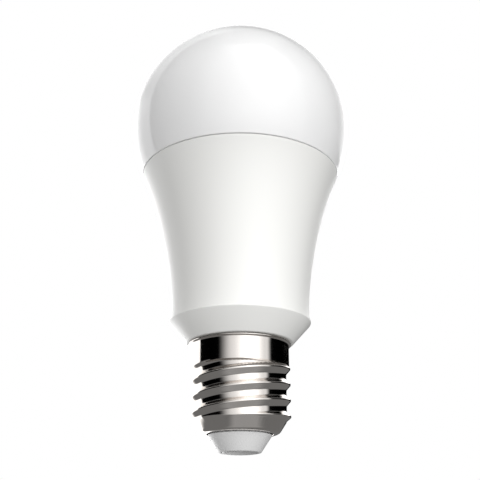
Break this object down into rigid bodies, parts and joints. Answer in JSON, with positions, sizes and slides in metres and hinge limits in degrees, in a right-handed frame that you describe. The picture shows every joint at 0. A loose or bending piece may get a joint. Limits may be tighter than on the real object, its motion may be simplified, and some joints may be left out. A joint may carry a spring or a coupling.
{
  "type": "smart light bulb",
  "caption": "LED lamp with a round opal globe, a waisted white housing on a chamfered collar, an E27 screw cap and a radio module inside.",
  "frame": {"origin": "middle of the centre contact's flat face, the lowest point of the lamp", "axes": "+Z along the lamp's axis from the contact to the crown of the globe; the thread's middle crest crosses -Y at 14.9 mm"},
  "size_m": [0.0606, 0.0606, 0.1194],
  "materials": {
    "opal": "glossy opal polycarbonate, diffusing white",
    "housing": "satin, slightly warm white moulded plastic",
    "silicone": "matt translucent white bead",
    "aluminium": "drawn sheet, mill finish",
    "thermal_pad": "matt grey gap pad",
    "white_board": "white solder mask on an aluminium core",
    "green_board": "green solder mask on glass-fibre board",
    "black_board": "black solder mask on glass-fibre board",
    "white_led": "yellow phosphor in a white package",
    "colour_led": "clear resin over red, green and blue dies",
    "steel": "zinc-plated steel",
    "tinned": "tinned brass pin",
    "copper": "bare copper",
    "black_plastic": "black moulded package",
    "sleeve": "off-white insulating tube",
    "can": "tinned steel shield can",
    "film": "dark red film capacitor case",
    "can_sleeve": "black printed-sleeve capacitor can, no text",
    "ferrite": "dark grey ferrite",
    "winding_tape": "yellow tape over the winding",
    "varistor_coat": "blue dipped coating",
    "resistor_coat": "grey-green cement coating",
    "wire_red": "red insulated wire",
    "wire_black": "black insulated wire",
    "nickel": "polished nickel plate on rolled brass",
    "cap_insulator": "light grey moulded insulator",
    "contact": "plain grey tinned contact disc"
  },
  "bodies": {
    "root": {"diffuser_globe": "opal", "diffuser_bond": "silicone", "housing_shell": "housing", "screw_shell": "nickel", "cap_insulator": "cap_insulator", "centre_contact": "contact", "heat_sink": "aluminium", "thermal_pad": "thermal_pad", "led_board": "white_board", "led_white_01": "white_led", "led_white_02": "white_led", "led_white_03": "white_led", "led_white_04": "white_led", "led_white_05": "white_led", "led_white_06": "white_led", "led_white_07": "white_led", "led_white_08": "white_led", "led_white_09": "white_led", "led_white_10": "white_led", "led_white_11": "white_led", "led_white_12": "white_led", "led_colour_01": "colour_led", "led_colour_02": "colour_led", "led_colour_03": "colour_led", "led_colour_04": "colour_led", "board_screw_left": "steel", "board_screw_right": "steel", "driver_sleeve": "sleeve", "driver_board": "green_board", "input_capacitor": "can_sleeve", "output_capacitor": "can_sleeve", "film_capacitor": "film", "bridge_rectifier": "black_plastic", "driver_chip": "black_plastic", "choke": "ferrite", "varistor": "varistor_coat", "fuse_resistor": "resistor_coat", "transformer_core": "ferrite", "transformer_winding": "winding_tape", "board_pin_1": "tinned", "board_pin_2": "tinned", "board_pin_3": "tinned", "board_pin_4": "tinned", "radio_header": "black_plastic", "radio_board": "black_board", "radio_shield": "can", "radio_chip": "black_plastic", "radio_antenna": "copper", "live_wire": "wire_red", "neutral_wire": "wire_black"}
  },
  "joints": []
}
